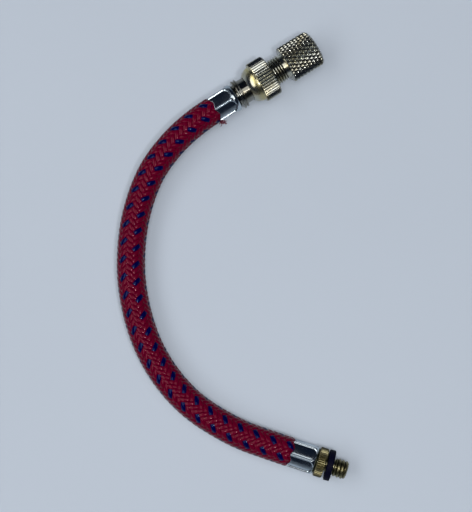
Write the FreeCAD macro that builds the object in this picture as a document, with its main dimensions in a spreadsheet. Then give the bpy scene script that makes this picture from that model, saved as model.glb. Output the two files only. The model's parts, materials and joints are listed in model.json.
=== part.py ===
import FreeCAD, Part
import math
import os
from types import SimpleNamespace

import Sketcher

# A bicycle tyre-pump hose: a short braided rubber hose between two crimped brass fittings.
# The valve end has a swivel nut with a screwed-in valve adapter, the pump end a fixed thread.
# Each fitting is drawn along its own axis, X, with its origin at the mouth of its ferrule.
# Millimetres. The hose lies on the table, Z is up, and the origin is under the middle of the fittings.

sizes = {
    # The crimped ferrule, the same at both ends
    "ferruleLength": 7.2,
    "ferruleRadius": 4.15,
    "ferruleWall": 0.4,
    "shoulderRounding": 1.3,
    "crimpDepth": 0.3,
    "crimpLength": 5.8,
    "crimpRunout": 0.8,
    "crimpSides": 6,
    "crimpRoll": 41,
    # The barbed stem inside it, the same at both ends
    "stemTip": 0.5,
    "stemRadius": 1.6,
    "stemBore": 0.9,
    "barbRadius": 1.95,
    "barbPitch": 1.9,
    "barbRamp": 1.5,
    "journalRadius": 2.3,
    # The hose
    "hoseRadius": 4.0,
    "linerRadius": 3.3,
    "linerBore": 1.5,
    "crimpedBraidWall": 0.46,
    "valveLead": 8.5,
    "pumpLead": 6.5,
    # The valve end's tail, which carries the nut
    "grooveRadius": 3.2,
    "grooveLength": 0.4,
    "flangeRadius": 4.35,
    "flangeLength": 1.4,
    "flangeRounding": 0.45,
    "neckRadius": 3.6,
    "neckLength": 3.45,
    "headLength": 1.4,
    "depressorSeatRadius": 1.3,
    "depressorSeatDepth": 1.2,
    # The pin that opens a valve's core
    "depressorPinRadius": 0.6,
    "depressorPinLength": 2.8,
    "depressorNotch": 0.35,
    "depressorNotches": 3,
    # The swivel nut, whose rolled skirt holds the tail's head
    "bandRadius": 6.05,
    "bandLength": 4.9,
    "nutWall": 1.6,
    "swivelClearance": 0.08,
    "chamberClearance": 0.15,
    "headPlay": 0.2,
    "skirtThickness": 1.1,
    "domeTuck": 0.45,
    "domeStep": 0.67,
    "domeLength": 2.95,
    "domeArc": 4.6,
    "bandFrontRounding": 0.6,
    "bandBackRounding": 0.2,
    "nutMouthChamfer": 0.35,
    # The rubber washer in the nut
    "washerThickness": 1.0,
    "washerClearance": 0.2,
    "washerHole": 1.6,
    # The valve adapter, screwed part of the way into the nut
    "threadClearance": 0.05,
    "adapterThreadRadius": 3.85,
    "adapterThreadLength": 5.9,
    "adapterThreadChamfer": 0.45,
    "adapterEngagement": 2.25,
    "adapterNeckRelief": 0.2,
    "adapterNeckLength": 1.25,
    "adapterHeadRadius": 5.45,
    "adapterHeadLength": 10.05,
    "adapterBackRounding": 0.45,
    "adapterFrontRounding": 1.3,
    "adapterPassage": 1.25,
    "socketRadius": 2.65,
    "socketLength": 7.1,
    "socketChamfer": 0.4,
    "sealSeatUndercut": 0.35,
    "sealSeatLength": 1.4,
    # The rubber ring at the bottom of its socket
    "sealClearance": 0.15,
    "sealEndClearance": 0.1,
    "sealHole": 1.2,
    # The pump end's tail
    "collarRadius": 4.2,
    "collarLength": 2.45,
    "collarRounding": 0.3,
    "pumpNeckRadius": 2.1,
    "pumpNeckLength": 2.5,
    "pumpThreadRadius": 2.6,
    "pumpThreadLength": 3.85,
    "pumpThreadRounding": 0.6,
    "pumpBore": 1.25,
    "pumpBoreDepth": 6.0,
    # Its rubber washer, which sits a little askew
    "pumpWasherRadius": 4.3,
    "pumpWasherClearance": 0.15,
    "pumpWasherThickness": 2.05,
    "pumpWasherTilt": 3.5,
    "pumpWasherGap": 0.02,
    # Where the two ferrule mouths lie, and which way the fittings point
    "valveMouthX": -17.7,
    "valveMouthY": 41.5,
    "valveHeading": 32.4,
    "pumpMouthX": 4.0,
    "pumpMouthY": -55.9,
    "pumpHeading": -18.3,
}

barbCount = 3

# The hose's route between its two straight leads: X, Y and the height of its underside.
# It comes down from the nut's axis height to the table.
routePoints = [
    (-34.3, 26.5, 1.3),
    (-38.75, 16.9, 0.35),
    (-41.4, 5.3, 0),
    (-41.5, -9.8, 0),
    (-36.7, -27.1, 0),
    (-26.4, -41.4, 0),
    (-12.7, -50.1, 0),
]

doc = FreeCAD.newDocument("PumpHose")
sheet = doc.addObject("Spreadsheet::Sheet", "Sizes")
for row, (name, value) in enumerate(sizes.items(), start=1):
    sheet.set(f"A{row}", name)
    sheet.set(f"B{row}", str(value))
    sheet.setAlias(f"B{row}", name)
doc.recompute()


# A size with its value and the expression that binds it to the sheet
class Size:
    def __init__(self, value, text):
        self.value = value
        self.text = text

    def join(self, other, sign, value):
        right = other.text if isinstance(other, Size) else str(other)
        return Size(value, f"({self.text} {sign} {right})")

    def __add__(self, other):
        return self.join(other, "+", self.value + number(other))

    def __sub__(self, other):
        return self.join(other, "-", self.value - number(other))

    def __mul__(self, other):
        return self.join(other, "*", self.value * number(other))


def number(value):
    return value.value if isinstance(value, Size) else value


def bind(thing, target, size):
    if isinstance(size, Size):
        thing.setExpression(target, size.text)


s = SimpleNamespace(**{name: Size(value, f"Sizes.{name}") for name, value in sizes.items()})


def originFeature(body, role):
    return next(item for item in body.Origin.OriginFeatures if item.Role == role)


def newBody(label):
    body = doc.addObject("PartDesign::Body", label.title().replace("_", ""))
    body.Label = label
    return body


# The arc from one corner to the next, its centre left (1) or right (-1) of the way there
def arcBetween(start, end, radius, side):
    half = (end - start) * 0.5
    rise = math.sqrt(radius**2 - half.Length**2)
    left = FreeCAD.Vector(-half.y, half.x, 0).normalize()
    centre = start + half + left * (rise * side)
    first, last = (start, end) if side > 0 else (end, start)
    angles = [math.atan2(point.y - centre.y, point.x - centre.x) for point in (first, last)]
    circle = Part.Circle(centre, FreeCAD.Vector(0, 0, 1), radius)
    return Part.ArcOfCircle(circle, angles[0], angles[1])


# A closed outline of (x, y) corners, each held by its sizes. A corner may add the radius and
# the side of the arc that leads to the next one.
def drawOutline(sketch, corners):
    points = [FreeCAD.Vector(number(corner[0]), number(corner[1]), 0) for corner in corners]
    starts = []
    for index, corner in enumerate(corners):
        start, end = points[index], points[(index + 1) % len(points)]
        if len(corner) == 2:
            sketch.addGeometry(Part.LineSegment(start, end), False)
            starts.append(1)
        else:
            sketch.addGeometry(arcBetween(start, end, number(corner[2]), corner[3]), False)
            starts.append(1 if corner[3] > 0 else 2)
    for index, corner in enumerate(corners):
        following = (index + 1) % len(corners)
        end = 3 - starts[index]
        sketch.addConstraint(Sketcher.Constraint("Coincident", index, end, following, starts[following]))
        for axis, kind, line in ((0, "DistanceX", -2), (1, "DistanceY", -1)):
            place = corner[axis]
            if not isinstance(place, Size) and place == 0:
                held = Sketcher.Constraint("PointOnObject", index, starts[index], line)
                sketch.addConstraint(held)
                continue
            held = Sketcher.Constraint(kind, -1, 1, index, starts[index], number(place))
            bind(sketch, f"Constraints[{sketch.addConstraint(held)}]", place)
        if len(corner) > 2:
            held = Sketcher.Constraint("Radius", index, number(corner[2]))
            bind(sketch, f"Constraints[{sketch.addConstraint(held)}]", corner[2])


def newSketch(body, name, plane="XZ_Plane"):
    sketch = body.newObject("Sketcher::SketchObject", name)
    sketch.AttachmentSupport = (originFeature(body, plane), [""])
    sketch.MapMode = "FlatFace"
    return sketch


# A turned piece: an outline of (along the axis, radius) corners, spun about the axis
def turn(body, corners):
    sketch = newSketch(body, "Outline")
    drawOutline(sketch, corners)
    spun = body.newObject("PartDesign::Revolution", "Turned")
    spun.Profile = sketch
    spun.ReferenceAxis = (sketch, ["H_Axis"])
    spun.Angle = 360
    sketch.Visibility = False
    doc.recompute()


# Round the circular edges at these (along, radius) places
def roundEdges(body, places, rounding):
    base = body.Tip
    names = []
    for along, radius in places:
        for index, edge in enumerate(base.Shape.Edges, start=1):
            curve = edge.Curve
            if not isinstance(curve, Part.Circle):
                continue
            near = abs(curve.Center.x - number(along)) < 1e-4
            if near and abs(curve.Radius - number(radius)) < 1e-4:
                names.append(f"Edge{index}")
    fillet = body.newObject("PartDesign::Fillet", "Rounded")
    fillet.Base = (base, names)
    bind(fillet, "Radius", rounding)
    doc.recompute()


def patternAboutAxis(body, feature, count):
    pattern = body.newObject("PartDesign::PolarPattern", "Around")
    pattern.Originals = [feature]
    pattern.Axis = (originFeature(body, "X_Axis"), [""])
    pattern.Angle = 360
    bind(pattern, "Occurrences", count)
    body.Tip = pattern
    doc.recompute()


# Where each fitting lies: its mouth on the table plan, its heading, and its axis height
def fittingPlace(thing, mouthX, mouthY, heading, height, roll=None):
    bind(thing, "Placement.Base.x", mouthX)
    bind(thing, "Placement.Base.y", mouthY)
    bind(thing, "Placement.Base.z", height)
    turned = f"create(<<rotation>>; create(<<vector>>; 0; 0; 1); {heading.text})"
    if roll is not None:
        turned += f" * create(<<rotation>>; create(<<vector>>; 1; 0; 0); {roll.text})"
    thing.setExpression("Placement.Rotation", turned)


valvePlace = (s.valveMouthX, s.valveMouthY, s.valveHeading, s.bandRadius)
pumpPlace = (s.pumpMouthX, s.pumpMouthY, s.pumpHeading, s.pumpWasherRadius)

# Radii that follow from the pieces round them
flatHeight = s.ferruleRadius - s.crimpDepth
crimpedLinerRadius = flatHeight - s.ferruleWall - s.crimpedBraidWall
chamberRadius = s.bandRadius - s.nutWall
headRadius = chamberRadius - s.chamberClearance
nutBore = s.adapterThreadRadius + s.threadClearance
sealSeatRadius = s.socketRadius + s.sealSeatUndercut

# Stations along the valve fitting
endWall = s.ferruleLength - s.ferruleWall
flangeBack = s.ferruleLength + s.grooveLength
flangeFront = flangeBack + s.flangeLength
headBack = flangeFront + s.neckLength
headFront = headBack + s.headLength
chamberBack = headBack - s.headPlay
skirtBack = chamberBack - s.skirtThickness
bandBack = skirtBack + s.domeLength
nutFront = bandBack + s.bandLength
washerBack = headFront + s.headPlay
washerFront = washerBack + s.washerThickness
chamberFront = washerFront + s.washerClearance
adapterEnd = nutFront - s.adapterEngagement
adapterNeckBack = adapterEnd + s.adapterThreadLength
adapterHeadBack = adapterNeckBack + s.adapterNeckLength
adapterFront = adapterHeadBack + s.adapterHeadLength
socketBack = adapterFront - s.socketLength
sealSeatBack = socketBack - s.sealSeatLength

# Stations along the pump fitting
collarFront = s.ferruleLength + s.collarLength
pumpThreadBack = collarFront + s.pumpNeckLength
pumpFront = pumpThreadBack + s.pumpThreadLength


# The outside of a crimped ferrule, or with an inset its hollow: a cup with a rounded shoulder
# whose six flats run in from the mouth and end in the curve of the crimping jaws
def crimpForm(label, inset, place):
    body = newBody(label)
    length = s.ferruleLength - inset
    radius = s.ferruleRadius - inset
    turn(body, [(0, 0), (length, 0), (length, radius), (0, radius)])
    roundEdges(body, [(length, radius)], s.shoulderRounding - inset)
    flat = flatHeight - inset
    runout = s.crimpRunout + inset
    flatEnd = s.crimpLength - s.crimpRunout
    crimpEnd = s.crimpLength + inset
    top = flat + runout
    sketch = newSketch(body, "Jaw")
    drawOutline(sketch, [(0, flat), (flatEnd, flat, runout, 1), (crimpEnd, top), (0, top)])
    jaw = body.newObject("PartDesign::Pocket", "Flat")
    jaw.Profile = sketch
    jaw.Type = 0
    jaw.SideType = "Symmetric"
    bind(jaw, "Length", s.ferruleRadius * 2)
    sketch.Visibility = False
    doc.recompute()
    patternAboutAxis(body, jaw, s.crimpSides)
    fittingPlace(body, *place, s.crimpRoll)
    return body


# The barbed outline of a stem, from its tip to the ferrule's end wall
def barbs():
    corners = [(s.stemTip, s.linerBore)]
    for index in range(barbCount):
        crest = s.stemTip + s.barbRamp + s.barbPitch * index
        corners.append((crest, s.barbRadius))
        corners.append((crest, s.stemRadius))
        if index < barbCount - 1:
            corners.append((crest + (s.barbPitch - s.barbRamp), s.stemRadius))
    corners.append((endWall, s.stemRadius))
    return corners


def crimpFerrule(label, place):
    outside = crimpForm(f"{label}_form", Size(0, "0"), place)
    hollow = crimpForm(f"{label}_hollow", s.ferruleWall, place)
    hole = newBody(f"{label}_hole")
    turn(hole, [(0, 0), (s.ferruleLength, 0), (s.ferruleLength, s.journalRadius), (0, s.journalRadius)])
    fittingPlace(hole, *place)
    tools = doc.addObject("Part::Fuse", f"{label}_tools")
    tools.Base = hollow
    tools.Tool = hole
    ferrule = doc.addObject("Part::Cut", label)
    ferrule.Base = outside
    ferrule.Tool = tools
    return ferrule, hollow


def valveTail():
    body = newBody("valve_tail")
    turn(body, barbs() + [
        (endWall, s.journalRadius),
        (s.ferruleLength, s.journalRadius),
        (s.ferruleLength, s.grooveRadius),
        (flangeBack, s.grooveRadius),
        (flangeBack, s.flangeRadius),
        (flangeFront, s.flangeRadius),
        (flangeFront, s.neckRadius),
        (headBack, s.neckRadius),
        (headBack, headRadius),
        (headFront, headRadius),
        (headFront, s.depressorSeatRadius),
        (headFront - s.depressorSeatDepth, s.depressorSeatRadius),
        (headFront - s.depressorSeatDepth, s.stemBore),
        (s.stemTip, s.stemBore),
    ])
    rims = [(flangeBack, s.flangeRadius), (flangeFront, s.flangeRadius)]
    roundEdges(body, rims, s.flangeRounding)
    fittingPlace(body, *valvePlace)
    return body


# A disc with air notches, pressed into the tail, and the pin that stands on it
def coreDepressor():
    body = newBody("core_depressor")
    back = headFront - s.depressorSeatDepth
    tip = headFront + s.depressorPinLength
    turn(body, [
        (back, 0),
        (tip, 0),
        (tip, s.depressorPinRadius),
        (headFront, s.depressorPinRadius),
        (headFront, s.depressorSeatRadius),
        (back, s.depressorSeatRadius),
    ])
    sketch = newSketch(body, "Notch")
    drawOutline(sketch, [
        (back, s.depressorPinRadius),
        (headFront, s.depressorPinRadius),
        (headFront, s.depressorSeatRadius),
        (back, s.depressorSeatRadius),
    ])
    notch = body.newObject("PartDesign::Pocket", "AirNotch")
    notch.Profile = sketch
    notch.Type = 0
    notch.SideType = "Symmetric"
    bind(notch, "Length", s.depressorNotch * 2)
    sketch.Visibility = False
    doc.recompute()
    patternAboutAxis(body, notch, s.depressorNotches)
    fittingPlace(body, *valvePlace)
    return body


def swivelNut():
    body = newBody("swivel_nut")
    hole = s.neckRadius + s.swivelClearance
    turn(body, [
        (skirtBack, hole),
        (skirtBack, chamberRadius - s.domeTuck, s.domeArc, -1),
        (bandBack, s.bandRadius - s.domeStep),
        (bandBack, s.bandRadius),
        (nutFront, s.bandRadius),
        (nutFront, nutBore + s.nutMouthChamfer),
        (nutFront - s.nutMouthChamfer, nutBore),
        (chamberFront, nutBore),
        (chamberFront, chamberRadius),
        (chamberBack, chamberRadius),
        (chamberBack, hole),
    ])
    roundEdges(body, [(nutFront, s.bandRadius)], s.bandFrontRounding)
    roundEdges(body, [(bandBack, s.bandRadius)], s.bandBackRounding)
    fittingPlace(body, *valvePlace)
    return body


def ring(label, back, front, hole, radius, place):
    body = newBody(label)
    turn(body, [(back, hole), (front, hole), (front, radius), (back, radius)])
    fittingPlace(body, *place)
    return body


def valveAdapter():
    body = newBody("valve_adapter")
    neck = s.adapterThreadRadius - s.adapterNeckRelief
    turn(body, [
        (adapterEnd, s.adapterPassage),
        (adapterEnd, s.adapterThreadRadius - s.adapterThreadChamfer),
        (adapterEnd + s.adapterThreadChamfer, s.adapterThreadRadius),
        (adapterNeckBack, s.adapterThreadRadius),
        (adapterNeckBack, neck),
        (adapterHeadBack, neck),
        (adapterHeadBack, s.adapterHeadRadius),
        (adapterFront, s.adapterHeadRadius),
        (adapterFront, s.socketRadius + s.socketChamfer),
        (adapterFront - s.socketChamfer, s.socketRadius),
        (socketBack, s.socketRadius),
        (socketBack, sealSeatRadius),
        (sealSeatBack, sealSeatRadius),
        (sealSeatBack, s.adapterPassage),
    ])
    roundEdges(body, [(adapterFront, s.adapterHeadRadius)], s.adapterFrontRounding)
    roundEdges(body, [(adapterHeadBack, s.adapterHeadRadius)], s.adapterBackRounding)
    fittingPlace(body, *valvePlace)
    return body


def pumpTail():
    body = newBody("pump_tail")
    boreBack = pumpFront - s.pumpBoreDepth
    turn(body, barbs() + [
        (endWall, s.journalRadius),
        (s.ferruleLength, s.journalRadius),
        (s.ferruleLength, s.collarRadius),
        (collarFront, s.collarRadius),
        (collarFront, s.pumpNeckRadius),
        (pumpThreadBack, s.pumpNeckRadius),
        (pumpThreadBack, s.pumpThreadRadius),
        (pumpFront, s.pumpThreadRadius),
        (pumpFront, s.pumpBore),
        (boreBack, s.pumpBore),
        (boreBack, s.stemBore),
        (s.stemTip, s.stemBore),
    ])
    rims = [(s.ferruleLength, s.collarRadius), (collarFront, s.collarRadius)]
    roundEdges(body, rims, s.collarRounding)
    roundEdges(body, [(pumpFront, s.pumpThreadRadius)], s.pumpThreadRounding)
    fittingPlace(body, *pumpPlace)
    return body


# The pump washer leans on the collar at one side, so it is drawn about its own middle
def pumpWasher():
    body = newBody("pump_washer")
    half = s.pumpWasherThickness * 0.5
    hole = s.pumpThreadRadius + s.pumpWasherClearance
    turn(body, [
        (half * -1, hole),
        (half, hole),
        (half, s.pumpWasherRadius),
        (half * -1, s.pumpWasherRadius),
    ])
    lean = f"{s.pumpWasherRadius.text} * sin({s.pumpWasherTilt.text} * 1deg)"
    along = f"({collarFront.text} + {s.pumpWasherGap.text} + {half.text} + {lean})"
    heading = s.pumpHeading.text
    body.setExpression("Placement.Base.x", f"{s.pumpMouthX.text} + {along} * cos({heading} * 1deg)")
    body.setExpression("Placement.Base.y", f"{s.pumpMouthY.text} + {along} * sin({heading} * 1deg)")
    bind(body, "Placement.Base.z", s.pumpWasherRadius)
    turned = f"create(<<rotation>>; create(<<vector>>; 0; 0; 1); {heading} + {s.pumpWasherTilt.text})"
    body.setExpression("Placement.Rotation", turned)
    return body


# The route's corners: each ferrule's mouth, a lead straight out of it, and the points between
def routeCorners():
    corners = []
    for mouthX, mouthY, heading, height, lead in (
        (*valvePlace, s.valveLead),
        (*pumpPlace, s.pumpLead),
    ):
        angle = math.radians(heading.value)
        out = FreeCAD.Vector(-math.cos(angle), -math.sin(angle), 0)
        mouth = FreeCAD.Vector(mouthX.value, mouthY.value, height.value)
        corners.append([mouth, mouth + out * lead.value])
    middle = [FreeCAD.Vector(x, y, s.hoseRadius.value + rise) for x, y, rise in routePoints]
    return corners[0] + middle + corners[1][::-1]


# Straight runs joined by tangent arcs, each as large as its two runs allow
def routeWire(corners):
    runShare = 0.45
    edges = []
    at = corners[0]
    for before, corner, after in zip(corners, corners[1:], corners[2:]):
        back = before - corner
        ahead = after - corner
        reach = runShare * min(back.Length, ahead.Length)
        halfTurn = (math.pi - back.getAngle(ahead)) / 2
        radius = reach / math.tan(halfTurn)
        print(f"route arc radius {radius:.1f} mm, turn {math.degrees(2 * halfTurn):.1f} degrees")
        back.normalize()
        ahead.normalize()
        start = corner + back * reach
        end = corner + ahead * reach
        inward = (back + ahead).normalize()
        middle = corner + inward * (radius / math.cos(halfTurn) - radius)
        edges.append(Part.LineSegment(at, start).toShape())
        edges.append(Part.Arc(start, middle, end).toShape())
        at = end
    edges.append(Part.LineSegment(at, corners[-1]).toShape())
    return Part.Wire(edges)


# A solid rod along the route
def routeRod(wire, radius):
    start = wire.Edges[0].Vertexes[0].Point
    along = wire.Edges[0].tangentAt(wire.Edges[0].FirstParameter)
    rim = Part.Wire([Part.Circle(start, along, radius.value).toShape()])
    return wire.makePipeShell([rim], True, False)


# A hollow tube along the route
def routeTube(name, wire, outer, inner):
    tube = routeRod(wire, outer).cut(routeRod(wire, inner))
    section = math.pi * (outer.value**2 - inner.value**2)
    print(f"{name} volume {tube.Volume:.1f} mm3, section times length {section * wire.Length:.1f} mm3")
    thing = doc.addObject("Part::Feature", name)
    thing.Shape = tube
    return thing


# The rubber inside a ferrule, squeezed onto the barbs
def crimpedLiner(label, place):
    body = newBody(label)
    turn(body, [(0, s.linerBore)] + barbs() + [
        (endWall, crimpedLinerRadius),
        (0, crimpedLinerRadius),
    ])
    fittingPlace(body, *place)
    return body


# The braid inside a ferrule fills the hollow round the rubber
def crimpedBraid(label, hollow, place):
    core = newBody(f"{label}_core")
    turn(core, [(0, 0), (endWall, 0), (endWall, crimpedLinerRadius), (0, crimpedLinerRadius)])
    fittingPlace(core, *place)
    sleeve = doc.addObject("Part::Cut", label)
    sleeve.Base = hollow
    sleeve.Tool = core
    return sleeve


def joined(label, pieces):
    whole = doc.addObject("Part::MultiFuse", label)
    whole.Shapes = pieces
    whole.Refine = True
    return whole


valveFerrule, valveHollow = crimpFerrule("crimp_ferrule_valve", valvePlace)
pumpFerrule, pumpHollow = crimpFerrule("crimp_ferrule_pump", pumpPlace)

washerRadius = chamberRadius - s.washerClearance
sealBack = sealSeatBack + s.sealEndClearance
sealFront = socketBack - s.sealEndClearance
sealRadius = sealSeatRadius - s.sealClearance

route = routeWire(routeCorners())
print(f"route length {route.Length:.1f} mm")
braidTube = routeTube("braid_tube", route, s.hoseRadius, s.linerRadius)
linerTube = routeTube("liner_tube", route, s.linerRadius, s.linerBore)

pieces = [
    valveFerrule,
    pumpFerrule,
    valveTail(),
    coreDepressor(),
    swivelNut(),
    ring("swivel_washer", washerBack, washerFront, s.washerHole, washerRadius, valvePlace),
    valveAdapter(),
    ring("adapter_seal", sealBack, sealFront, s.sealHole, sealRadius, valvePlace),
    pumpTail(),
    pumpWasher(),
    joined("hose_liner", [
        linerTube,
        crimpedLiner("valve_liner_end", valvePlace),
        crimpedLiner("pump_liner_end", pumpPlace),
    ]),
    joined("hose_braid", [
        braidTube,
        crimpedBraid("valve_braid_end", valveHollow, valvePlace),
        crimpedBraid("pump_braid_end", pumpHollow, pumpPlace),
    ]),
]
doc.recompute()

for thing in doc.Objects:
    if "Invalid" in thing.State or "Error" in thing.State:
        raise SystemExit(f"{thing.Label} failed: {thing.State}")

os.makedirs("parts", exist_ok=True)
for piece in pieces:
    shape = piece.Shape
    if shape.isNull() or not shape.isValid():
        raise SystemExit(f"{piece.Label} has no sound shape")
    print(f"{piece.Label}: {len(shape.Solids)} solid, {shape.Volume:.2f} mm3")
    shape.exportStep(f"parts/{piece.Label}.step")
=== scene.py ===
import json
import math
import random

import bmesh
import bpy
from mathutils import Matrix, Vector


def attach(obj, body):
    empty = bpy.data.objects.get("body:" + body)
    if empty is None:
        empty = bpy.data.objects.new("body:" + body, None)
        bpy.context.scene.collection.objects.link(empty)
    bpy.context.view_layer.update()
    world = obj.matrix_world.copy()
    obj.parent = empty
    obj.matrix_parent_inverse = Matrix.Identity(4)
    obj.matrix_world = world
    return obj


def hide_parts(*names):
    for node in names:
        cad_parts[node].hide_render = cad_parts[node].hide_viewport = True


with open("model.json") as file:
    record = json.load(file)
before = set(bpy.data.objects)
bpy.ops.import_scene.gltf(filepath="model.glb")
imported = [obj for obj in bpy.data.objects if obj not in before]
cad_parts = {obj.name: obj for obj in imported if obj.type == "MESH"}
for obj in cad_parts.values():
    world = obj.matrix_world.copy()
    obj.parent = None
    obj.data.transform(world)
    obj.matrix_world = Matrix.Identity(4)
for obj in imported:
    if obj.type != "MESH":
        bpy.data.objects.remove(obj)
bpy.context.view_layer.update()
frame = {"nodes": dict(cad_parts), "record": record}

mm = 0.001
hair = 0.01 * mm        # a cut starts or ends this far from an edge
samePoint = 1e-7        # points of an outline nearer than this are one
up = Vector((0, 0, 1))
scene = bpy.context.scene

# the camera, at the angle of the picture, which is 472 by 512
view = {
    "target": (-11.7 * mm, -0.5 * mm, 4.0 * mm),
    "distance": 480 * mm,
    "tilt": 7.5,                # degrees off straight down
    "pictureHeight": 512,
    "focalPixels": 1693.7,
    "sensor": 36.0,
    "nearest": 10 * mm,
    "farthest": 20,
}


def addObject(name, data):
    added = bpy.data.objects.new(name, data)
    scene.collection.objects.link(added)
    return added


def makeCamera():
    data = bpy.data.cameras.new("pictureView")
    data.sensor_width = view["sensor"]
    data.lens = view["focalPixels"] / view["pictureHeight"] * view["sensor"]
    data.clip_start = view["nearest"]
    data.clip_end = view["farthest"]
    camera = addObject("pictureView", data)
    tilt = math.radians(view["tilt"])
    camera.rotation_euler = (tilt, 0, 0)
    backwards = Vector((0, -math.sin(tilt), math.cos(tilt)))
    camera.location = Vector(view["target"]) + view["distance"] * backwards
    scene.camera = camera
    print("camera:", round(view["distance"] / mm), "mm away")


# the hose's route, valve end first, and its real size
hose = {
    "route": [
        (-0.0177, 0.0415, 0.00605),
        (-0.02488, 0.03695, 0.00605),
        (-0.0343, 0.0265, 0.0053),
        (-0.03875, 0.0169, 0.00435),
        (-0.0414, 0.0053, 0.004),
        (-0.0415, -0.0098, 0.004),
        (-0.0367, -0.0271, 0.004),
        (-0.0264, -0.0414, 0.004),
        (-0.0127, -0.0501, 0.004),
        (-0.00217, -0.05386, 0.0043),
        (0.004, -0.0559, 0.0043),
    ],
    "stepsPerPoint": 48,
    "length": 0.1289,
    "diameter": 0.008,
    "linerRadius": 3.3 * mm,
    "linerPinched": 2.8 * mm,
    "linerInset": 4.0 * mm,     # how far the rubber runs into each ferrule
    "linerSides": 24,
    "squeezedSteps": 12,        # steps of the route at each mouth over which the rubber is thinner
    "squeeze": 0.93,
    "weld": 0.001 * mm,
}

# the braid: yarns wound each way, each over two and under two
braid = {
    "yarnsEachWay": 12,
    "lead": 19.74 * mm,         # one turn of a yarn round the hose
    "first": 4.25 * mm,         # from the valve ferrule's mouth to the first tracer on the top column
    "column": -25.5,            # degrees from the top to that column's middle
    "tracerEvery": 3,
    "yarnWidth": 1.36 * mm,
    "yarnThickness": 0.36 * mm,
    "wave": 0.14 * mm,          # how far a yarn rises and dips as it crosses the others
    "valveRadius": 3.69 * mm,   # of the yarns' middle layer
    "pumpRadius": 3.86 * mm,
    "pinchedRadius": 3.2 * mm,
    "pinchLength": 1.3 * mm,
    "inset": 1.2 * mm,          # how far the yarns run into each ferrule
    "rings": 500,
    "sides": 8,
    "closingWeld": 0.002 * mm,  # closes each ribbon's seam and ends
}


def makeRoute():
    data = bpy.data.curves.new("hoseRoute", "CURVE")
    data.dimensions = "3D"
    data.resolution_u = hose["stepsPerPoint"]
    spline = data.splines.new("NURBS")
    spline.points.add(len(hose["route"]) - 1)
    for point, place in zip(spline.points, hose["route"]):
        point.co = (*place, 1)
    spline.order_u = 3
    spline.use_endpoint_u = True
    return addObject("hoseRoute", data)


# node helpers: a wrapped socket that takes arithmetic, and one method for every other node
class Value:
    def __init__(self, graph, socket):
        self.graph = graph
        self.socket = socket

    def maths(self, operation, *others):
        return self.graph.add("ShaderNodeMath", (self, *others), operation=operation)

    def __add__(self, other):
        return self.maths("ADD", other)

    def __mul__(self, other):
        return self.maths("MULTIPLY", other)

    def __sub__(self, other):
        return self.maths("SUBTRACT", other)

    def __truediv__(self, other):
        return self.maths("DIVIDE", other)

    def __rsub__(self, other):
        return self.graph.add("ShaderNodeMath", (other, self), operation="SUBTRACT")

    def __rtruediv__(self, other):
        return self.graph.add("ShaderNodeMath", (other, self), operation="DIVIDE")

    __radd__ = __add__
    __rmul__ = __mul__


class Graph:
    def __init__(self, tree):
        self.tree = tree

    def add(self, kind, sockets=(), output=0, **settings):
        node = self.tree.nodes.new(kind)
        for setting, value in settings.items():
            setattr(node, setting, value)
        pairs = sockets.items() if isinstance(sockets, dict) else enumerate(sockets)
        for key, value in pairs:
            self.feed(node.inputs[key], value)
        return Value(self, node.outputs[output] if len(node.outputs) else None)

    def feed(self, socket, value):
        if isinstance(value, Value):
            self.tree.links.new(value.socket, socket)
        else:
            socket.default_value = value

    def vector(self, operation, *inputs):
        return self.add("ShaderNodeVectorMath", inputs, operation=operation)

    def scaled(self, vector, factor):
        return self.add("ShaderNodeVectorMath", {0: vector, "Scale": factor}, operation="SCALE")

    def blend(self, factor, first, second):
        return self.add("ShaderNodeMix", {0: factor, 6: first, 7: second}, output=2, data_type="RGBA")

    def fade(self, value, start, end, **settings):
        return self.add(
            "ShaderNodeMapRange", {"Value": value, "From Min": start, "From Max": end}, **settings)

    def noise(self, place, scale, detail):
        return self.add("ShaderNodeTexNoise", {"Vector": place, "Scale": scale, "Detail": detail})

    def attribute(self, name):
        return self.add("ShaderNodeAttribute", output="Fac", attribute_name=name)

    def parts(self, vector):
        node = self.add("ShaderNodeSeparateXYZ", (vector,)).socket.node
        return [Value(self, socket) for socket in node.outputs]


def geometryTree(name, sizes):
    tree = bpy.data.node_groups.new(name, "GeometryNodeTree")
    tree.interface.new_socket("Geometry", in_out="INPUT", socket_type="NodeSocketGeometry")
    tree.interface.new_socket("Geometry", in_out="OUTPUT", socket_type="NodeSocketGeometry")
    for label, size in sizes.items():
        kind = "NodeSocketFloat" if isinstance(size, float) else "NodeSocketMaterial"
        socket = tree.interface.new_socket(label, in_out="INPUT", socket_type=kind)
        socket.default_value = size
    graph = Graph(tree)
    inputs = tree.nodes.new("NodeGroupInput")
    given = {socket.name: Value(graph, socket) for socket in inputs.outputs if socket.name}
    return graph, given


def addModifier(piece, tree, sizes):
    modifier = piece.modifiers.new(tree.name, "NODES")
    modifier.node_group = tree
    for item in tree.interface.items_tree:
        if item.in_out == "INPUT" and item.name in sizes:
            modifier[item.identifier] = sizes[item.name]
    return modifier


def settledMesh(piece, name):
    depsgraph = bpy.context.evaluated_depsgraph_get()
    mesh = bpy.data.meshes.new_from_object(piece.evaluated_get(depsgraph), depsgraph=depsgraph)
    mesh.name = name
    return mesh


def bridge(work, first, second):
    # a strip of faces between two rings of points
    for index in range(len(first)):
        following = (index + 1) % len(first)
        work.faces.new((first[index], first[following], second[following], second[index]))


def closedMesh(work, name):
    # the finished work as a mesh, its faces pointing outwards
    bmesh.ops.recalc_face_normals(work, faces=work.faces)
    mesh = bpy.data.meshes.new(name)
    work.to_mesh(mesh)
    work.free()
    return mesh


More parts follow.
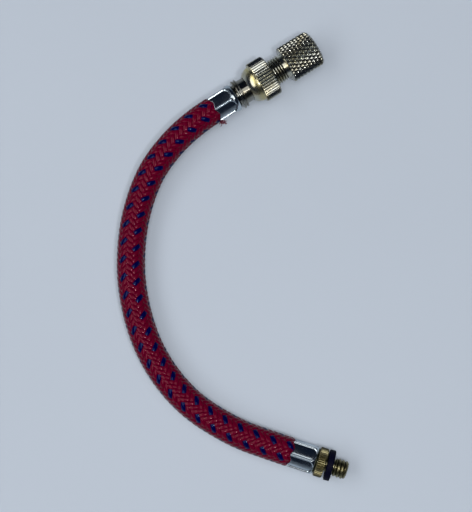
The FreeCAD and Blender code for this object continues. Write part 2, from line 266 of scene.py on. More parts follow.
def addPiece(name, mesh, body, replaced=(), smoothAngle=None):
    mesh.shade_smooth()
    if smoothAngle:
        mesh.set_sharp_from_angle(angle=math.radians(smoothAngle))
    piece = addObject(name, mesh)
    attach(piece, body)
    if replaced:
        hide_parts(*replaced)
    return piece


def weldMesh(mesh, distance):
    work = bmesh.new()
    work.from_mesh(mesh)
    bmesh.ops.remove_doubles(work, verts=work.verts, dist=distance)
    bmesh.ops.recalc_face_normals(work, faces=work.faces)
    work.to_mesh(mesh)
    work.free()


# materials
def newMaterial(name, fixed):
    material = bpy.data.materials.new(name)
    material.use_nodes = True
    shader = material.node_tree.nodes["Principled BSDF"]
    for socket, value in fixed.items():
        shader.inputs[socket].default_value = value
    return material, Graph(material.node_tree), shader


def dressShader(graph, shader, colour, roughness, height, strength, depth):
    bump = graph.add("ShaderNodeBump", {"Strength": strength, "Distance": depth, "Height": height})
    graph.feed(shader.inputs["Base Color"], colour)
    graph.feed(shader.inputs["Roughness"], roughness)
    graph.feed(shader.inputs["Normal"], bump)


# bright plate and where it dulls, and for some the brass under it or the shade painted into the cuts
metals = {
    "nickel": {"bright": (0.50, 0.56, 0.60), "dull": (0.34, 0.40, 0.44), "roughness": 0.14},
    "platedBrass": {
        "bright": (0.46, 0.47, 0.42), "dull": (0.36, 0.32, 0.20), "roughness": 0.15,
        # cut: painted shade for the bottoms of the grooves
        "bare": (0.50, 0.43, 0.17), "cut": (0.012, 0.012, 0.016)},
    # a darker copy of the plated brass: painted shade for the valve tail's rings and neck
    "paintedShadePlate": {"bright": (0.24, 0.24, 0.22), "dull": (0.16, 0.14, 0.09), "roughness": 0.12},
    "oliveBrass": {
        "bright": (0.22, 0.20, 0.11), "dull": (0.12, 0.10, 0.05), "roughness": 0.28,
        # cut: painted shade for the bottoms of the grooves
        "cut": (0.008, 0.008, 0.008)},
}

metalWearAndGrooveShade = {
    "patchScale": 260,
    "dullFrom": 0.42,           # the patches' noise from which the plate is dull
    "dullTo": 0.72,
    "dullRoughness": 0.1,
    "bareUnderDull": 0.6,       # how much of the bare brass the dull patches cover
    "bareRoughness": 0.1,
    "cutFrom": 0.62,            # share of a groove's depth at which its painted shade begins
    "cutTo": 0.95,
    "cutDark": 0.95,
    "cutRoughness": 0.2,
    "scratchScale": 2600,
    "scratchStrength": 0.12,
    "scratchDepth": 0.02 * mm,
}


def metalMaterial(name, finish):
    # bright plate that dulls in patches, is worn through where marked, and has shade painted into the cuts
    wearAndShade = metalWearAndGrooveShade
    material, graph, shader = newMaterial(name, {"Metallic": 1.0})
    place = graph.add("ShaderNodeTexCoord", output="Object")
    dull = graph.fade(graph.noise(place, wearAndShade["patchScale"], 4), wearAndShade["dullFrom"], wearAndShade["dullTo"])
    colour = graph.blend(dull, (*finish["bright"], 1), (*finish["dull"], 1))
    roughness = finish["roughness"] + dull * wearAndShade["dullRoughness"]
    if "bare" in finish:
        bare = graph.attribute("bare")
        colour = graph.blend(bare * (1 - dull * wearAndShade["bareUnderDull"]), colour, (*finish["bare"], 1))
        roughness = roughness + bare * wearAndShade["bareRoughness"]
    # painted shade: the plate turns to the cut colour towards the bottom of each groove
    if "cut" in finish:
        deep = graph.fade(graph.attribute("groove"), wearAndShade["cutFrom"], wearAndShade["cutTo"])
        colour = graph.blend(deep * wearAndShade["cutDark"], colour, (*finish["cut"], 1))
        roughness = roughness + deep * wearAndShade["cutRoughness"]
    scratches = graph.noise(place, wearAndShade["scratchScale"], 2)
    dressShader(graph, shader, colour, roughness, scratches, wearAndShade["scratchStrength"], wearAndShade["scratchDepth"])
    return material


rubber = {
    "colour": (0.001, 0.001, 0.007),
    "patchColour": (0.0036, 0.0036, 0.0132),
    "patchScale": 300,
    "specular": 0.04,
    "roughness": 0.38,
    "patchRoughness": 0.2,
    "grainScale": 1800,
    "grainStrength": 0.3,
    "grainDepth": 0.03 * mm,
}


def rubberMaterial(name):
    # matt and finely grained, a little greyer in patches
    material, graph, shader = newMaterial(name, {"Specular IOR Level": rubber["specular"]})
    place = graph.add("ShaderNodeTexCoord", output="Object")
    patches = graph.noise(place, rubber["patchScale"], 2)
    colour = graph.blend(patches, (*rubber["colour"], 1), (*rubber["patchColour"], 1))
    roughness = rubber["roughness"] + patches * rubber["patchRoughness"]
    grain = graph.noise(place, rubber["grainScale"], 3)
    dressShader(graph, shader, colour, roughness, grain, rubber["grainStrength"], rubber["grainDepth"])
    return material


yarns = {
    "crimsonYarn": {"deep": (0.07, 0.0, 0.008), "light": (0.125, 0.001, 0.018), "sheen": (1.0, 0.3, 0.36)},
    "navyYarn": {"deep": (0.0, 0.0, 0.02), "light": (0.001, 0.002, 0.06), "sheen": (0.35, 0.6, 1.0)},
}

filaments = {
    "alongScale": 0.5,          # scale of the streaks along a yarn, to its width
    "aroundScale": 22,          # and round it, to one turn
    "specular": 0.15,
    "coat": 0.09,
    "coatRoughness": 0.1,
    "roughness": 0.1,
    "streakRoughness": 0.05,
    "bumpStrength": 0.12,
    "bumpDepth": 0.04 * mm,
}


def yarnMaterial(name, dye):
    # untwisted filaments: streaks along the yarn, which also tilt the surface across it
    material, graph, shader = newMaterial(name, {
        "Specular IOR Level": filaments["specular"],
        "Specular Tint": (*dye["sheen"], 1),
        "Coat Weight": filaments["coat"],
        "Coat Roughness": filaments["coatRoughness"],
    })
    along, around, ignored = graph.parts(graph.add("ShaderNodeTexCoord", output="UV"))
    run = graph.add(
        "ShaderNodeCombineXYZ", (along * filaments["alongScale"], around * filaments["aroundScale"], 0))
    streaks = graph.noise(run, 1.0, 3)
    colour = graph.blend(streaks, (*dye["deep"], 1), (*dye["light"], 1))
    roughness = filaments["roughness"] + streaks * filaments["streakRoughness"]
    dressShader(
        graph, shader, colour, roughness, streaks, filaments["bumpStrength"], filaments["bumpDepth"])
    return material


def makeMaterials():
    made = {name: metalMaterial(name, finish) for name, finish in metals.items()}
    made["blackRubber"] = rubberMaterial("blackRubber")
    for name, dye in yarns.items():
        made[name] = yarnMaterial(name, dye)
    print("materials:", ", ".join(made))
    return made


# the braid: every yarn is a closed ribbon that winds round the route and goes over and under
def braidTree(sizes):
    graph, given = geometryTree("woundYarns", sizes)
    turn = 2 * math.pi
    strip = graph.add("GeometryNodeMeshGrid", {
        "Size X": 1, "Size Y": 1, "Vertices X": given["rings"], "Vertices Y": given["sides"] + 1})
    starts = graph.add("GeometryNodeMeshLine", {"Count": given["yarnsEachWay"] * 2, "Offset": (0, 0, 0)})
    strips = graph.add("GeometryNodeInstanceOnPoints", {"Points": starts, "Instance": strip})
    strips = graph.add(
        "GeometryNodeStoreNamedAttribute",
        {"Geometry": strips, "Name": "yarn", "Value": graph.add("GeometryNodeInputIndex")},
        data_type="FLOAT", domain="INSTANCE")
    mesh = graph.add("GeometryNodeRealizeInstances", (strips,))

    # the first half of the yarns winds one way, the second half the other
    yarn = graph.add("GeometryNodeInputNamedAttribute", {"Name": "yarn"}, data_type="FLOAT")
    left = yarn.maths("GREATER_THAN", given["yarnsEachWay"] - 0.5)
    hand = 1 - left * 2
    number = yarn - left * given["yarnsEachWay"]
    lengthwise, sideways, ignored = graph.parts(graph.add("GeometryNodeInputPosition"))
    share = lengthwise + 0.5
    section = (sideways + 0.5) * turn
    station = share * (given["length"] + given["inset"] * 2) - given["inset"]

    # where the yarn is round the hose, and how high it rides there
    step = turn / 4 / given["yarnsEachWay"]
    wound = ((station - given["first"]) / given["lead"] - number / given["yarnsEachWay"]) * turn
    around = wound * hand + given["column"] + step - hand * step
    over = ((around - given["column"]) * given["yarnsEachWay"] / 2).maths("COSINE") * hand
    over = over * (1.5 - over * over * 0.5)
    fromMouth = station.maths("MINIMUM", given["length"] - station)
    opened = graph.fade(fromMouth, 0, given["pinchLength"], interpolation_type="SMOOTHSTEP")
    full = given["valveRadius"] + (given["pumpRadius"] - given["valveRadius"]) * share
    middle = given["pinchedRadius"] + (full - given["pinchedRadius"]) * opened

    # the ribbon's section, which closes to a point at both ends
    ends = share.maths("MINIMUM", 1 - share)
    fullness = (ends * given["rings"] / 2).maths("MINIMUM", 1)
    across = section.maths("COSINE") * given["yarnWidth"] * 0.5 * fullness
    rise = section.maths("SINE") * given["yarnThickness"] * 0.5 * fullness
    slope = (middle * turn / given["lead"]).maths("ARCTANGENT")
    placed = station - hand * across * slope.maths("SINE")
    angle = around + across * slope.maths("COSINE") / middle
    radius = middle + over * given["wave"] + rise

    # the same spot carried onto the route, straight on past its ends
    onRoute = placed.maths("MAXIMUM", 0).maths("MINIMUM", given["length"])
    sample = graph.add(
        "GeometryNodeSampleCurve", {"Curves": given["Geometry"], "Length": onRoute}, output="Position",
        mode="LENGTH", use_all_curves=True)
    tangent = Value(graph, sample.socket.node.outputs["Tangent"])
    outwards = graph.vector("NORMALIZE", graph.vector("CROSS_PRODUCT", tangent, (0, 0, 1)))
    upwards = graph.vector("CROSS_PRODUCT", outwards, tangent)
    spot = graph.vector("ADD", sample, graph.scaled(tangent, placed - onRoute))
    spot = graph.vector("ADD", spot, graph.scaled(upwards, angle.maths("COSINE") * radius))
    spot = graph.vector("ADD", spot, graph.scaled(outwards, angle.maths("SINE") * radius))

    weave = graph.add("ShaderNodeCombineXYZ", (station / given["yarnWidth"], section / turn, 0))
    mesh = graph.add(
        "GeometryNodeStoreNamedAttribute", {"Geometry": mesh, "Name": "yarnRun", "Value": weave},
        data_type="FLOAT2", domain="CORNER")
    tracer = number.maths("MODULO", given["tracerEvery"]).maths("LESS_THAN", 0.5) * (1 - left)
    mesh = graph.add("GeometryNodeSetPosition", {"Geometry": mesh, "Position": spot})
    mesh = graph.add("GeometryNodeMergeByDistance", {"Geometry": mesh, "Distance": given["closingWeld"]})
    mesh = graph.add("GeometryNodeRealizeInstances", (mesh,))
    mesh = graph.add("GeometryNodeSetMaterial", {"Geometry": mesh, "Material": given["yarn"]})
    mesh = graph.add("GeometryNodeSetMaterial", {
        "Geometry": mesh, "Selection": tracer, "Material": given["tracerYarn"]})
    graph.add("NodeGroupOutput", (mesh,))
    return graph.tree


def makeHose(route, materials):
    centreline = settledMesh(route, "hoseCentreline")
    path = [tuple(vertex.co) for vertex in centreline.vertices]
    length = sum((Vector(b) - Vector(a)).length for a, b in zip(path, path[1:]))
    sizes = {key: float(size) for key, size in braid.items()}
    sizes["column"] = math.radians(braid["column"])
    sizes["length"] = length
    sizes["yarn"] = materials["crimsonYarn"]
    sizes["tracerYarn"] = materials["navyYarn"]
    modifier = addModifier(route, braidTree(sizes), sizes)
    mesh = settledMesh(route, "hoseBraid")
    route.modifiers.remove(modifier)
    weldMesh(mesh, hose["weld"])
    weave = addPiece("hoseBraid", mesh, "hose_assembly", ["hose_braid"])
    tube = makeTube(path, materials)
    bpy.data.objects.remove(route)
    print("hose: centreline", round(length / mm, 2), "mm,", len(mesh.polygons), "faces in the braid")


# the rubber tube under the braid
def makeTube(path, materials):
    points = [Vector(place) for place in path]
    first = (points[0] - points[1]).normalized()
    last = (points[-1] - points[-2]).normalized()
    spots = [(points[0] + first * hose["linerInset"], hose["linerPinched"])]
    spots += [(point, hose["linerRadius"]) for point in points]
    spots += [(points[-1] + last * hose["linerInset"], hose["linerPinched"])]
    work = bmesh.new()
    sides = hose["linerSides"]
    rings = []
    for index, (point, radius) in enumerate(spots):
        before = spots[max(index - 1, 0)][0]
        after = spots[min(index + 1, len(spots) - 1)][0]
        tangent = (after - before).normalized()
        outwards = tangent.cross(up).normalized()
        upwards = outwards.cross(tangent)
        free = hose["squeezedSteps"] < index < len(spots) - hose["squeezedSteps"]
        squeeze = 1 if free else hose["squeeze"]
        ring = []
        for side in range(sides):
            angle = 2 * math.pi * side / sides
            offset = upwards * math.cos(angle) + outwards * math.sin(angle)
            ring.append(work.verts.new(point + offset * radius * squeeze))
        rings.append(ring)
    for ring, following in zip(rings, rings[1:]):
        bridge(work, ring, following)
    work.faces.new(rings[0])
    work.faces.new(rings[-1])
    mesh = closedMesh(work, "hoseTube")
    mesh.materials.append(materials["blackRubber"])
    return addPiece("hoseTube", mesh, "hose_assembly", ["hose_liner"], smoothAngle=60)


# the two fittings: x runs out along a fitting from its ferrule's mouth, z is up
def fittingPlace(mountName, ferruleNode):
    mount = next(mount for mount in frame["record"]["mounts"] if mount["name"] == mountName)
    along = Vector(mount["axis"]).normalized()
    turned = Matrix((along, up.cross(along), up)).transposed()
    anchor = Vector(mount["pos_m"])
    mouth = min((vertex.co - anchor).dot(along) for vertex in frame["nodes"][ferruleNode].data.vertices)
    return Matrix.Translation(anchor + along * mouth) @ turned.to_4x4()


def reach(node, place):
    # where a node's solid starts and ends along the fitting, and its largest radius
    back = place.inverted()
    points = [back @ vertex.co for vertex in frame["nodes"][node].data.vertices]
    stations = [point.x for point in points]
    return min(stations), max(stations), max(math.hypot(point.y, point.z) for point in points)


def bend(station, radius, size, start, end, steps=6):
    # points on a rounding, angles in degrees in the plane of station and radius
    points = []
    for step in range(steps + 1):
        angle = math.radians(start + (end - start) * step / steps)
        points.append((station + size * math.cos(angle), radius + size * math.sin(angle)))
    return points


def straight(start, end, radius, spacing):
    steps = max(1, round(abs(end - start) / spacing))
    return [(start + (end - start) * step / steps, radius) for step in range(steps + 1)]


def roundedBand(start, end, radius, back, front, spacing=1, steps=(6, 6)):
    # a band whose edges are rounded by back and front
    points = bend(start + back, radius - back, back, 180, 90, steps[0])
    points += straight(start + back, end - front, radius, spacing)
    return points + bend(end - front, radius - front, front, 90, 0, steps[1])


def turnedMesh(name, outline, segments, shape=None):
    # a closed outline of station and radius, turned about the fitting's axis
    points = [
        point for index, point in enumerate(outline)
        if math.dist(point, outline[index - 1]) > samePoint]
    work = bmesh.new()
    rings = []
    for station, radius in points:
        ring = []
        for segment in range(segments):
            angle = 2 * math.pi * segment / segments
            x, r = shape(station, radius, angle) if shape else (station, radius)
            ring.append(work.verts.new((x, r * math.cos(angle), r * math.sin(angle))))
        rings.append(ring)
    for index, ring in enumerate(rings):
        bridge(work, rings[index - 1], ring)
    return closedMesh(work, name)


# rolled and cut patterns: straight teeth, crossed diamonds and threads, all one rule
# Count is grooves to a turn, Slant grooves to a metre along, Crossed is 1 for diamonds,
# a larger Crest has wider flat tops, Rounded is 1 for soft flanks, Outside is -1 in a bore
def cutTree():
    graph, given = geometryTree("rolledCuts", {
        "Radius": 0.005, "Depth": 0.0003, "Count": 40.0, "Slant": 0.0, "Crossed": 0.0, "Crest": 1.3,
        "Outside": 1.0, "Start": 0.0, "End": 0.01, "Lowest": 0.0, "Highest": 0.01, "Rounded": 0.0,
        "Finish": None,
    })
    station, y, z = graph.parts(graph.add("GeometryNodeInputPosition"))
    radius = (y * y + z * z).maths("SQRT")
    turns = z.maths("ARCTAN2", y) / (2 * math.pi)

    def ridge(slant):
        phase = turns * given["Count"] + slant * station
        fromGroove = 1 - (phase.maths("FRACT") * 2 - 1).maths("ABSOLUTE")
        rise = (fromGroove * given["Crest"]).maths("MINIMUM", 1)
        return rise + (rise * rise * (3 - rise * 2) - rise) * given["Rounded"]

    other = ridge(given["Slant"] * -1).maths("MAXIMUM", 1 - given["Crossed"])
    height = ridge(given["Slant"]).maths("MINIMUM", other)
    outside = given["Outside"]
    wanted = outside * given["Radius"] - given["Depth"] * (1 - height)
    cut = (outside * radius).maths("MINIMUM", wanted) * outside
    scale = cut / radius
    spot = graph.add("ShaderNodeCombineXYZ", (station, y * scale, z * scale))
    chosen = station.maths("GREATER_THAN", given["Start"]) * station.maths("LESS_THAN", given["End"])
    chosen = chosen * radius.maths("GREATER_THAN", given["Lowest"])
    chosen = chosen * radius.maths("LESS_THAN", given["Highest"])
    mesh = graph.add(
        "GeometryNodeStoreNamedAttribute",
        {"Geometry": given["Geometry"], "Selection": chosen, "Name": "groove", "Value": 1 - height},
        data_type="FLOAT", domain="POINT")
    mesh = graph.add("GeometryNodeSetPosition", {"Geometry": mesh, "Selection": chosen, "Position": spot})
    mesh = graph.add("GeometryNodeRealizeInstances", (mesh,))
    mesh = graph.add("GeometryNodeSetMaterial", {"Geometry": mesh, "Material": given["Finish"]})
    graph.add("NodeGroupOutput", (mesh,))
    return graph.tree


def teethCut(size, radius, start, end, lowest):
    return {
        "Radius": radius, "Depth": size["toothDepth"], "Count": float(size["teeth"]),
        "Crest": size["toothCrest"], "Start": start - hair, "End": end + hair,
        "Lowest": lowest + size["toothMargin"],
    }


def threadCut(radius, depth, pitch, start, end, others):
    # a right-handed thread is one slanting groove
    return {
        "Radius": radius, "Depth": depth, "Count": -1.0, "Slant": 1 / pitch,
        "Start": start, "End": end + hair, **others,
    }


def boreThread(radius, depth, pitch, start, end):
    return threadCut(radius, depth, pitch, start + hair, end, {"Outside": -1.0, "Highest": radius + hair})


def cutInto(mesh, tree, material, cuts):
    blank = addObject("blank", mesh)
    for sizes in cuts:
        addModifier(blank, tree, {**sizes, "Finish": material})
    finished = settledMesh(blank, mesh.name)
    bpy.data.objects.remove(blank)
    return finished


def markBare(mesh, middle, reachEach, lowest):
    # where the plate is worn through on the upper side, fading out along the fitting
    shares = mesh.attributes.new("bare", "FLOAT", "POINT")
    for vertex, share in zip(mesh.vertices, shares.data):
        if vertex.co.z > 0 and math.hypot(vertex.co.y, vertex.co.z) > lowest:
            share.value = max(0.0, 1 - abs(vertex.co.x - middle) / reachEach)


def pokeBetween(mesh, start, end, lowest):
    # four triangles to a face, so that slanting grooves run along edges
    work = bmesh.new()
    work.from_mesh(mesh)
    chosen = []
    for face in work.faces:
        centre = face.calc_center_median()
        if start < centre.x < end and math.hypot(centre.y, centre.z) > lowest:
            chosen.append(face)
    bmesh.ops.poke(work, faces=chosen)
    work.to_mesh(mesh)
    work.free()


# the crimped ferrule: a thin cup with pressed pockets all round that end in a curve
ferrule = {
    "wall": 0.4 * mm,
    "endWall": 0.4 * mm,
    "rounding": 1.3 * mm,
    "stemHole": 2.3 * mm,
    "pockets": 6,
    "pocketHalfAngle": 28.8,
    "pocketDepth": 0.2 * mm,
    "flattening": 0.25 * mm,    # how much deeper a pocket is in its middle
    "wallShare": 0.15,          # of the half angle
    "ridgeHeight": 0.12 * mm,
    "ridgeFade": 1.0 * mm,
    "pocketEndLength": 1.7 * mm,
    "cornerPower": 2.1,
    "lipWave": 0.28 * mm,
    "lipWaveLength": 2 * mm,
    "lipStart": 0.02 * mm,
    "outerSpacing": 0.1 * mm,
    "innerSpacing": 0.3 * mm,
    "segments": 360,
    # node name, turn of a pocket's middle from the top in degrees, and where the pockets end
    "pair": [("crimp_ferrule_valve", 42.0, 5.8 * mm), ("crimp_ferrule_pump", 40.0, 6.7 * mm)],
}


def smoothStep(share):
    share = min(1.0, max(0.0, share))
    return share * share * (3 - 2 * share)


def ferruleMesh(name, length, radius, roll, pocketEnd, material):
    size = ferrule
    half = math.radians(size["pocketHalfAngle"])
    power = size["cornerPower"]

    def pressed(station, r, angle):
        spacing = 2 * math.pi / size["pockets"]
        turned = angle - math.pi / 2 - math.radians(roll)
        offset = (turned + spacing / 2) % spacing - spacing / 2
        side = abs(offset) / half
        lengthwise = max(0.0, station - pocketEnd + size["pocketEndLength"]) / size["pocketEndLength"]
        fromMiddle = (side ** power + lengthwise ** power) ** (1 / power)
        inside = smoothStep((1 - fromMiddle) / size["wallShare"])
        depth = size["pocketDepth"] + size["flattening"] * max(0.0, 1 - side * side)
        ridge = smoothStep((side - 1) / size["wallShare"] + 1)
        ridge = ridge * smoothStep((pocketEnd - station) / size["ridgeFade"])
        fading = max(0.0, 1 - station / size["lipWaveLength"])
        lip = size["lipWave"] * math.cos(offset * size["pockets"]) * fading
        return station + lip, r - depth * inside + size["ridgeHeight"] * ridge * (1 - inside)

    wall = size["wall"]
    rounding = size["rounding"]
    shoulder = length - rounding
    outline = straight(0, shoulder, radius, size["outerSpacing"])
    outline += bend(shoulder, radius - rounding, rounding, 90, 0, steps=10)
    outline += [(length, size["stemHole"]), (length - size["endWall"], size["stemHole"])]
    outline += bend(shoulder, radius - rounding, rounding - size["endWall"], 0, 90)
    outline += straight(shoulder, 0, radius - wall, size["innerSpacing"])
    outline += bend(size["lipStart"], radius - wall / 2, wall / 2, 250, 110, steps=4)
    mesh = turnedMesh(name, outline, size["segments"], pressed)
    mesh.materials.append(material)
    return mesh


# a few ends of the yarns that fray out of the valve ferrule's mouth
tuft = {
    "fibres": 16,
    "root": (-0.2 * mm, -4.0 * mm, 0.6 * mm),
    "spread": 0.45 * mm,
    "length": 1.35 * mm,
    "thickness": 0.2 * mm,
    "steps": 5,
    "leanAlong": 0.6,           # how far a fibre may lean from straight out
    "leanDown": 0.3,
    "leanUp": 0.4,
    "curl": 0.55,
    "colour": (0.12, 0.004, 0.02),
    "roughness": 0.6,
}


def scatter(size):
    return Vector([random.uniform(-1, 1) * size for axis in range(3)])


def addTuft(place):
    work = bmesh.new()
    stride = tuft["length"] / tuft["steps"]
    for fibre in range(tuft["fibres"]):
        spot = Vector(tuft["root"]) + scatter(tuft["spread"])
        leanAlong = random.uniform(-tuft["leanAlong"], tuft["leanAlong"])
        leanUp = random.uniform(-tuft["leanDown"], tuft["leanUp"])
        heading = Vector((leanAlong, -1, leanUp)).normalized()
        before = None
        for step in range(tuft["steps"] + 1):
            side = heading.cross(up).normalized() * tuft["thickness"] / 2
            rise = side.cross(heading).normalized() * tuft["thickness"] / 2
            ring = [work.verts.new(spot + offset) for offset in (side, rise - side, -rise - side)]
            if before:
                bridge(work, before, ring)
            else:
                work.faces.new(ring)
            before = ring
            heading = heading + scatter(tuft["curl"])
            heading.normalize()
            spot = spot + heading * stride
        work.faces.new(before)
    mesh = closedMesh(work, "frayedYarns")
    mesh.transform(place)
    fixed = {"Base Color": (*tuft["colour"], 1), "Roughness": tuft["roughness"]}
    mesh.materials.append(newMaterial("frayedFibre", fixed)[0])
    addPiece("frayedYarns", mesh, "hose_assembly")


# what both tails share inside the hose: a barbed stem
stem = {
    "tip": 0.5 * mm,
    "radius": 1.6 * mm,
    "bore": 0.9 * mm,
    "barbRadius": 1.95 * mm,
    "barbPitch": 1.9 * mm,
    "barbRamp": 1.5 * mm,
    "barbBack": 0.02 * mm,
    "barbs": 3,
    "journalRadius": 2.3 * mm,
    "journalStart": 6.8 * mm,
}


def stemOutline():
    points = [(stem["tip"], stem["bore"])]
    for barb in range(stem["barbs"]):
        start = stem["tip"] + barb * stem["barbPitch"]
        points += [(start, stem["radius"]), (start + stem["barbRamp"], stem["barbRadius"])]
        points += [(start + stem["barbRamp"] + stem["barbBack"], stem["radius"])]
    points += [(stem["journalStart"], stem["radius"]), (stem["journalStart"], stem["journalRadius"])]
    return points


valveTail = {
    "grooveRadius": 3.2 * mm,
    "flangeStart": 7.6 * mm,
    "flangeEnd": 9.0 * mm,
    "flangeRadius": 4.35 * mm,
    "flangeRounding": 0.3 * mm,
    "cutMiddle": 8.35 * mm,     # the groove that parts the flange in two rings
    "cutWidth": 0.3 * mm,
    "cutRadius": 3.95 * mm,
    "neckRadius": 3.6 * mm,
    "headStart": 12.45 * mm,
    "headEnd": 13.85 * mm,
    "headRadius": 4.3 * mm,
    "seatRadius": 1.3 * mm,
    "seatDepth": 1.2 * mm,
    "segments": 128,
}


def valveTailMesh(ferruleEnd, material):
    size = valveTail
    rounding = size["flangeRounding"]
    halfCut = size["cutWidth"] / 2
    outline = stemOutline()
    outline += [(ferruleEnd, stem["journalRadius"]), (ferruleEnd, size["grooveRadius"])]
    outline += [(size["flangeStart"], size["grooveRadius"])]
    firstRing = (size["flangeStart"], size["cutMiddle"] - halfCut)
    secondRing = (size["cutMiddle"] + halfCut, size["flangeEnd"])
    for start, end in (firstRing, secondRing):
        outline += [(start, size["cutRadius"])]
        outline += roundedBand(start, end, size["flangeRadius"], rounding, rounding)
        outline += [(end, size["cutRadius"])]
    seatBottom = size["headEnd"] - size["seatDepth"]
    outline += [(size["flangeEnd"], size["neckRadius"]), (size["headStart"], size["neckRadius"])]
    outline += [(size["headStart"], size["headRadius"]), (size["headEnd"], size["headRadius"])]
    outline += [(size["headEnd"], size["seatRadius"]), (seatBottom, size["seatRadius"])]
    outline += [(seatBottom, stem["bore"])]
    mesh = turnedMesh("valveTail", outline, size["segments"])
    mesh.materials.append(material)
    return mesh


nut = {
    "lipRadius": 3.68 * mm,
    "lipEnd": 12.25 * mm,
    "chamberRadius": 4.45 * mm,
    "chamberEnd": 15.25 * mm,
    "domeStartRadius": 4.0 * mm,
    "domeEndRadius": 5.38 * mm,
    "domeArc": 4.6 * mm,
    "bandStart": 14.1 * mm,
    "bandStep": 0.2 * mm,
    "bandSpacing": 0.4 * mm,
    "backRounding": 0.2 * mm,
    "frontRounding": 0.6 * mm,
    "boreRadius": 3.9 * mm,
    "boreChamfer": 0.35 * mm,
    "teeth": 38,
    "facetsPerTooth": 8,
    "toothDepth": 0.4 * mm,
    "toothCrest": 1.15,
    "toothMargin": 0.05 * mm,   # how far above the dome the teeth's cut begins
    "bareMiddle": 13.3 * mm,    # where the brass shows through on the dome
    "bareReach": 1.4 * mm,
    "threadPitch": 0.79375 * mm,
    "threadDepth": 0.25 * mm,
    "ringsPerTurn": 10,
}


def domeCurve(start, startRadius, end, endRadius, arc, steps=16):
    # an arc of the given size through both ends, bulging outwards
    chord = Vector((end - start, endRadius - startRadius))
    middle = Vector((start + end, startRadius + endRadius)) / 2
    rise = math.sqrt(max(arc ** 2 - (chord.length / 2) ** 2, 0))
    centre = middle + Vector((chord.y, -chord.x)).normalized() * rise
    first = math.atan2(startRadius - centre.y, start - centre.x)
    last = math.atan2(endRadius - centre.y, end - centre.x)
    turn = [first + (last - first) * step / steps for step in range(steps + 1)]
    return [(centre.x + arc * math.cos(angle), centre.y + arc * math.sin(angle)) for angle in turn]


def nutMesh(start, end, radius, tree, material):
    size = nut
    band = size["bandStart"]
    back = size["backRounding"]
    front = size["frontRounding"]
    bore = size["boreRadius"]
    chamfer = size["boreChamfer"]
    outline = [(start, size["lipRadius"])]
    outline += domeCurve(start, size["domeStartRadius"], band, size["domeEndRadius"], size["domeArc"])
    outline += [(band, radius - back - size["bandStep"])]
    outline += roundedBand(band, end, radius, back, front, size["bandSpacing"], (4, 8))
    outline += [(end, bore + chamfer)]
    outline += straight(end - chamfer, size["chamberEnd"], bore, size["threadPitch"] / size["ringsPerTurn"])
    outline += [(size["chamberEnd"], size["chamberRadius"]), (size["lipEnd"], size["chamberRadius"])]
    outline += [(size["lipEnd"], size["lipRadius"])]
    mesh = turnedMesh("swivelNut", outline, size["teeth"] * size["facetsPerTooth"])
    markBare(mesh, size["bareMiddle"], size["bareReach"], size["domeStartRadius"])
    teeth = teethCut(size, radius, band, end, size["domeEndRadius"])
    thread = boreThread(bore, size["threadDepth"], size["threadPitch"], size["chamberEnd"], end)
    return cutInto(mesh, tree, material, [teeth, thread])


adapter = {
    "threadRadius": 3.85 * mm,
    "threadDepth": 0.46 * mm,
    "threadPitch": 0.79375 * mm,
    "threadCrest": 1.25,
    "threadEnd": 22.65 * mm,
    "threadChamfer": 0.45 * mm,
    "threadMargin": 0.5 * mm,   # how far outside the passage the thread's cut begins
    "ringsPerTurn": 12,
    "neckRadius": 3.65 * mm,
    "headStart": 23.9 * mm,
    "backRounding": 0.45 * mm,
    "frontRounding": 1.3 * mm,
    "passage": 1.25 * mm,
    "seatStart": 25.45 * mm,
    "seatEnd": 26.85 * mm,
    "seatRadius": 3.0 * mm,
    "socketRadius": 2.65 * mm,
    "socketChamfer": 0.4 * mm,
    "socketPitch": 1.0583 * mm,
    "socketDepth": 0.2 * mm,
    "socketRingsPerTurn": 10,
    "knurls": 30,
    "knurlAngle": 27.3,
    "knurlDepth": 0.38 * mm,
    "knurlCrest": 1.05,
    "knurlRounded": 0.8,
    "knurlSteps": 8,
    "knurlMargin": 0.05 * mm,
    "finerSkin": 0.8 * mm,      # how deep under the knurls the finer faces reach
}


def adapterMesh(start, end, radius, tree, material):
    size = adapter
    head = size["headStart"]
    back = size["backRounding"]
    front = size["frontRounding"]
    chamfer = size["socketChamfer"]
    thread = size["threadRadius"]
    threadStart = start + size["threadChamfer"]
    threadSpacing = size["threadPitch"] / size["ringsPerTurn"]
    socketSpacing = size["socketPitch"] / size["socketRingsPerTurn"]
    spacing = 2 * math.pi * radius / size["knurls"]
    knurlLength = spacing / math.tan(math.radians(size["knurlAngle"]))
    outline = [(start, size["passage"]), (start, thread - size["threadChamfer"])]
    outline += straight(threadStart, size["threadEnd"], thread, threadSpacing)
    outline += [(size["threadEnd"], size["neckRadius"]), (head, size["neckRadius"])]
    outline += roundedBand(head, end, radius, back, front, knurlLength / size["knurlSteps"], (6, 14))
    outline += [(end, size["socketRadius"] + chamfer)]
    outline += straight(end - chamfer, size["seatEnd"], size["socketRadius"], socketSpacing)
    outline += [(size["seatEnd"], size["seatRadius"]), (size["seatStart"], size["seatRadius"])]
    outline += [(size["seatStart"], size["passage"])]
    mesh = turnedMesh("valveAdapter", outline, size["knurls"] * size["knurlSteps"])
    pokeBetween(mesh, head, end, radius - size["finerSkin"])
    knurls = {
        "Radius": radius, "Depth": size["knurlDepth"], "Count": float(size["knurls"]),
        "Slant": 1 / knurlLength, "Crossed": 1.0, "Crest": size["knurlCrest"],
        "Rounded": size["knurlRounded"], "Start": head - hair, "End": end + hair,
        "Lowest": size["neckRadius"] + size["knurlMargin"],
    }
    maleThread = threadCut(
        thread, size["threadDepth"], size["threadPitch"], start - hair, size["threadEnd"],
        {"Crest": size["threadCrest"], "Lowest": size["passage"] + size["threadMargin"], "Rounded": 1.0})
    socketThread = boreThread(
        size["socketRadius"], size["socketDepth"], size["socketPitch"], size["seatEnd"], end)
    return cutInto(mesh, tree, material, [knurls, maleThread, socketThread])


